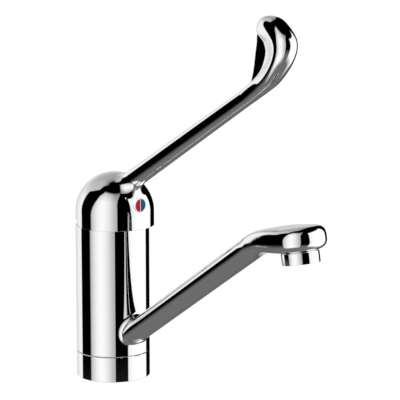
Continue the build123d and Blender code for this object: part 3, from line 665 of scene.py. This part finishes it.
node_finishes = {
    brass: ("inner_body", "swivel_nut", "cartridge_nut"),
    rubber: ("base_gasket", "lower_swivel_seal", "upper_swivel_seal", "port_seals", "aerator_gasket"),
    white_plastic: (
        "lower_glide_ring", "upper_glide_ring", "aerator_insert", "disc_carrier", "cartridge_base"),
    grey_plastic: ("cartridge_housing", "stem_holder"),
    ceramic: ("fixed_disc", "moving_disc"),
    steel: ("swivel_stop_pin", "stem_pin", "grub_screw", "aerator_screen", "spindle"),
    chrome: ("neck_cover",),
}
for material, names in node_finishes.items():
    for name in names:
        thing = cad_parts[name]
        thing.data.materials.clear()
        thing.data.materials.append(material)


# Pieces

spout = piece("spout_casting", chrome, spout_grids())
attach(spout, "spout")
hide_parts("spout_body")

lever = piece("lever_casting", chrome, lever_grids())
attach(lever, "lever")
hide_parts("lever_handle")

plug = piece("plug_button", plug_white, [turned([
    (0.0, PLUG_BACK), (PLUG_RADIUS, PLUG_BACK), (PLUG_RADIUS, PLUG_FACE - PLUG_BREAK),
    (PLUG_RADIUS - PLUG_BREAK, PLUG_FACE), (0.0, PLUG_FACE),
], PLUG_STEPS, (0, 0, PLUG_HEIGHT), -np.pi / 2)])
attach(plug, "lever")
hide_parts("indicator_plug")

for name, paint, side, node in (
    ("hot_half", hot_red, -1, "hot_mark"),
    ("cold_half", cold_blue, 1, "cold_mark"),
):
    half = piece(name, paint, mark_half(side))
    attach(half, "lever")
    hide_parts(node)

base = piece("base_collar", chrome, [turned([
    (FOOT_RECESS_RADIUS, 0.0), (COLUMN_RADIUS - EDGE_BREAK, 0.0), (COLUMN_RADIUS, EDGE_BREAK),
    (COLUMN_RADIUS, BASE_TOP - EDGE_BREAK), (COLUMN_RADIUS - EDGE_BREAK, BASE_TOP),
    (GLIDE_RECESS_RADIUS, BASE_TOP), (GLIDE_RECESS_RADIUS, GLIDE_RECESS_FLOOR),
    (BASE_BORE_RADIUS, GLIDE_RECESS_FLOOR), (BASE_BORE_RADIUS, FOOT_RECESS_TOP),
    (FOOT_RECESS_RADIUS, FOOT_RECESS_TOP), (FOOT_RECESS_RADIUS, 0.0),
], COLUMN_STEPS)])
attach(base, "root")
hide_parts("base_ring")

OUTLET_BORE = NOZZLE_RADIUS + OUTLET_GAP
outlet = piece("outlet_ring", chrome, [turned([
    (MOUTH_RADIUS, 0.0), (OUTLET_RADIUS - OUTLET_ROUND, 0.0),
    (OUTLET_RADIUS - OUTLET_ROUND_MIDDLE[0], OUTLET_ROUND_MIDDLE[1]),
    (OUTLET_RADIUS, OUTLET_ROUND), (OUTLET_RADIUS, OUTLET_HEIGHT - EDGE_BREAK),
    (OUTLET_RADIUS - EDGE_BREAK, OUTLET_HEIGHT), (OUTLET_BORE, OUTLET_HEIGHT),
    (OUTLET_BORE, OUTLET_LIP), (MOUTH_RADIUS, OUTLET_LIP), (MOUTH_RADIUS, 0.0),
], COLUMN_STEPS, (MOUTH[0], 0, MOUTH[1]), MOUTH_TILT)])
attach(outlet, "spout")
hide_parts("aerator_housing")


# Camera

CAMERA_TURN = np.radians(42)
CAMERA_RISE = np.radians(10.16)
CAMERA_DISTANCE = 1371.0
CAMERA_ASIDE = 59.26
CAMERA_UP = 118.55
CAMERA_LENS = 180
CAMERA_SENSOR = 36
CAMERA_NEAR = 0.05
CAMERA_FAR = 50

toward = Vector((np.cos(CAMERA_TURN), -np.sin(CAMERA_TURN), 0))
across = Vector((np.sin(CAMERA_TURN), np.cos(CAMERA_TURN), 0))
back = toward * np.cos(CAMERA_RISE) + Vector((0, 0, np.sin(CAMERA_RISE)))
upward = Vector((0, 0, np.cos(CAMERA_RISE))) - toward * np.sin(CAMERA_RISE)
place = (back * CAMERA_DISTANCE + across * CAMERA_ASIDE + upward * CAMERA_UP) * MM

lens = bpy.data.cameras.new("camera")
lens.lens = CAMERA_LENS
lens.sensor_width = CAMERA_SENSOR
lens.clip_start = CAMERA_NEAR
lens.clip_end = CAMERA_FAR
camera = bpy.data.objects.new("camera", lens)
facing = Matrix((across, upward, back)).transposed().to_4x4()
camera.matrix_world = Matrix.Translation(place) @ facing
bpy.context.scene.collection.objects.link(camera)
bpy.context.scene.camera = camera


# Floor: a flat disc on the foot's plane, which the camera sees as mostly even white light

FLOOR_RADII = (0.0, 400.0, 9000.0)
FLOOR_TONES = (0.88, 0.92)
FLOOR_DUST_SCALE = 3.0
FLOOR_DUST_DETAIL = 3.0
FLOOR_GLOW = 1.12
FLOOR_GLOW_SHARE = 0.82
WHITE = (1, 1, 1, 1)

floor_paint = bpy.data.materials.new("pale_floor")
add = node_kit(floor_paint)
path = add("LightPath")
dust = add(
    "TexNoise", Vector=add("TexCoord").outputs["Object"], Scale=FLOOR_DUST_SCALE,
    Detail=FLOOR_DUST_DETAIL)
tone = add("MapRange", Value=dust.outputs["Fac"], To_Min=FLOOR_TONES[0], To_Max=FLOOR_TONES[1])
matte = add("BsdfDiffuse", Color=tone.outputs["Result"])
glow = add("Emission", Color=WHITE, Strength=FLOOR_GLOW)
seen = add("Math", {"operation": "MULTIPLY"}, _0=path.outputs["Is Camera Ray"], _1=FLOOR_GLOW_SHARE)
mixed = add(
    "MixShader", Fac=seen.outputs["Value"], _1=matte.outputs["BSDF"], _2=glow.outputs["Emission"])
add("OutputMaterial", Surface=mixed.outputs["Shader"])
floor = piece("floor", floor_paint, [turned([(radius, 0.0) for radius in FLOOR_RADII], FLOOR_STEPS)])
floor.visible_glossy = False


# Tent, seen in reflections only: white boxes with black flags between them, a grey table below

TENT_RADIUS = 4000.0
TENT_MIDDLE = (0.06, 0, 0.12)
# Brightness by degrees to the right of the camera's side
BOX_LEVELS = (
    (-75, 0.42), (-62, 0.72), (-50, 0.95), (-35, 1.05), (-20, 0.92), (-10, 0.76), (0, 0.56),
    (8, 0.47),
)
REAR_LEVELS = ((-180, 0.66), (-150, 0.75), (-125, 0.95), (0, 1.0), (168, 0.6), (180, 0.66))
PANEL_LEVELS = ((49, 0.86), (60, 1.0), (70, 1.08))
BRIGHTEST = 2.0
# Edges: degrees of rise, then degrees to the right
REAR_EDGE = ((33, -113), (36, -109), (45, -98), (55, -86), (68, -97))
BOX_LEFT = ((-8, -74), (10, -70), (30, -64), (45, -61), (55, -54))
BOX_RIGHT = ((25, 8), (40, 12), (50, 20), (60, 30))
PANEL_FROM = 49
BLACK_FROM = 128
REAR_FROM = 168
# How many degrees each edge takes to fade
BOX_LEFT_SOFT = 4.0
BOX_RIGHT_SOFT = 1.5
REAR_EDGE_SOFT = 3.0
UPRIGHT_SOFT = 2.0
# Brightness by degrees of rise
REAR_HEIGHTS = ((15, 1.0), (30, 0.68), (45, 0.58), (60, 0.55), (70, 0.4), (78, 0.0))
BOX_HEIGHTS = ((30, 1.0), (48, 0.75), (56, 0.6), (62, 0.0))
PANEL_HEIGHTS = ((36, 1.0), (41, 0.0))
BOXES_ABOVE_TABLE = ((-54, 0.0), (-36, 1.0))
REAR_ABOVE_TABLE = ((-32, 0.0), (-18, 1.0))
TABLE_LEVELS = ((-50, 0.16), (-38, 0.145), (-30, 0.105), (-24, 0.06), (-19, 0.025), (-16, 0.0))
# Degrees from one end of each scale to the other, with nought in the middle
ALL_ROUND = 360
ALL_RISE = 180

tent_paint = bpy.data.materials.new("studio_tent")
add = node_kit(tent_paint)
direction = add("VectorMath", {"operation": "NORMALIZE"}, _0=add("TexCoord").outputs["Object"])
axes = add("SeparateXYZ", Vector=direction.outputs["Vector"])
turn_of = add("Math", {"operation": "ARCTAN2"}, _0=axes.outputs["Y"], _1=axes.outputs["X"])
round_share = add("MapRange", Value=turn_of.outputs["Value"], From_Min=-np.pi, From_Max=np.pi)
rise_of = add("Math", {"operation": "ARCSINE"}, _0=axes.outputs["Z"])
rise = add("Math", {"operation": "DEGREES"}, _0=rise_of.outputs["Value"])
rise_share = add(
    "MapRange", Value=rise.outputs["Value"], From_Min=-ALL_RISE / 2, From_Max=ALL_RISE / 2)


def table_ramp(share, rows, full, low=0.0, high=1.0):
    """A colour ramp over a turn or a rise: each row's degrees and value, scaled from low to high."""
    node = add("ValToRGB", Fac=share.outputs["Result"])
    stops = node.color_ramp.elements
    places = [row[0] / full + 0.5 for row in rows]
    stops[0].position = places[0]
    stops[-1].position = places[-1]
    for at in places[1:-1]:
        stops.new(at)
    for stop, row in zip(stops, rows):
        level = (row[1] - low) / (high - low)
        stop.color = (level, level, level, 1)
    return node.outputs["Color"]


def times(a, b):
    """The product of two values."""
    return add("Math", {"operation": "MULTIPLY"}, _0=a, _1=b).outputs["Value"]


def plus(a, b):
    """The sum of two values."""
    return add("Math", {"operation": "ADD"}, _0=a, _1=b).outputs["Value"]


def minus(a, b):
    """The first value less the second."""
    return add("Math", {"operation": "SUBTRACT"}, _0=a, _1=b).outputs["Value"]


def without(a, b):
    """The first value where the second is nothing."""
    return times(a, minus(1.0, b))


def past(edge, soft):
    """Nothing before the edge, rising to one over the soft degrees after it."""
    beyond = minus(round_share.outputs["Result"], edge)
    return add("MapRange", Value=beyond, From_Max=soft / ALL_ROUND).outputs["Result"]


def past_upright(degrees):
    """The same for an edge that stands upright."""
    return past(degrees / ALL_ROUND + 0.5, UPRIGHT_SOFT)


def edge_ramp(rows):
    """An edge's place round the tent at each rise."""
    return table_ramp(rise_share, rows, ALL_RISE, -ALL_ROUND / 2, ALL_ROUND / 2)


def over_height(rows):
    """A brightness at each rise."""
    return table_ramp(rise_share, rows, ALL_RISE)


def over_round(rows, highest=1.0):
    """A brightness at each turn."""
    return table_ramp(round_share, rows, ALL_ROUND, 0.0, highest)


box = times(past(edge_ramp(BOX_LEFT), BOX_LEFT_SOFT), over_height(BOX_HEIGHTS))
box = without(box, past(edge_ramp(BOX_RIGHT), BOX_RIGHT_SOFT))
box = times(box, times(over_round(BOX_LEVELS, BRIGHTEST), BRIGHTEST))
right = times(past_upright(PANEL_FROM), over_height(PANEL_HEIGHTS))
right = without(right, past_upright(BLACK_FROM))
right = times(right, times(over_round(PANEL_LEVELS, BRIGHTEST), BRIGHTEST))
boxes = times(plus(box, right), over_height(BOXES_ABOVE_TABLE))
rear = without(over_height(REAR_HEIGHTS), past(edge_ramp(REAR_EDGE), REAR_EDGE_SOFT))
rear = plus(rear, times(past_upright(REAR_FROM), over_height(REAR_HEIGHTS)))
rear = times(rear, times(over_round(REAR_LEVELS), over_height(REAR_ABOVE_TABLE)))
light = add("Emission", Color=WHITE, Strength=plus(plus(boxes, rear), over_height(TABLE_LEVELS)))
add("OutputMaterial", Surface=light.outputs["Emission"])

ball = np.linspace(-np.pi / 2, np.pi / 2, TENT_ROWS)
tent = piece("tent", tent_paint, [
    turned(TENT_RADIUS * np.stack([np.cos(ball), np.sin(ball)], -1), TENT_STEPS)])
tent.location = TENT_MIDDLE
tent.rotation_euler = (0, 0, -CAMERA_TURN)
tent.visible_camera = False
tent.visible_diffuse = False
tent.visible_transmission = False
tent.visible_shadow = False


# Sky and lamp

SKY_LEVELS = (0.75, 1.0)
LAMP_SIDE = 1.6
LAMP_POWER = 32
LAMP_PLACE = (0.3, -1.4, 1.9)

world = bpy.data.worlds.new("studio_world")
bpy.context.scene.world = world
add = node_kit(world)
path = add("LightPath")
seen = path.outputs["Is Camera Ray"]
for ray in ("Is Glossy Ray", "Is Transmission Ray"):
    seen = add("Math", {"operation": "MAXIMUM"}, _0=seen, _1=path.outputs[ray]).outputs["Value"]
level = add("MapRange", Value=seen, To_Min=SKY_LEVELS[0], To_Max=SKY_LEVELS[1])
sky = add("Background", Color=WHITE, Strength=level.outputs["Result"])
add("OutputWorld", Surface=sky.outputs["Background"])

lamp_light = bpy.data.lights.new("soft_panel", "AREA")
lamp_light.shape = "SQUARE"
lamp_light.size = LAMP_SIDE
lamp_light.energy = LAMP_POWER
lamp = bpy.data.objects.new("soft_panel", lamp_light)
lamp.location = LAMP_PLACE
lamp.rotation_mode = "QUATERNION"
lamp.rotation_quaternion = Vector(lamp.location).to_track_quat("Z", "Y")
lamp.visible_glossy = False
bpy.context.scene.collection.objects.link(lamp)

bpy.context.scene.view_settings.view_transform = "Standard"
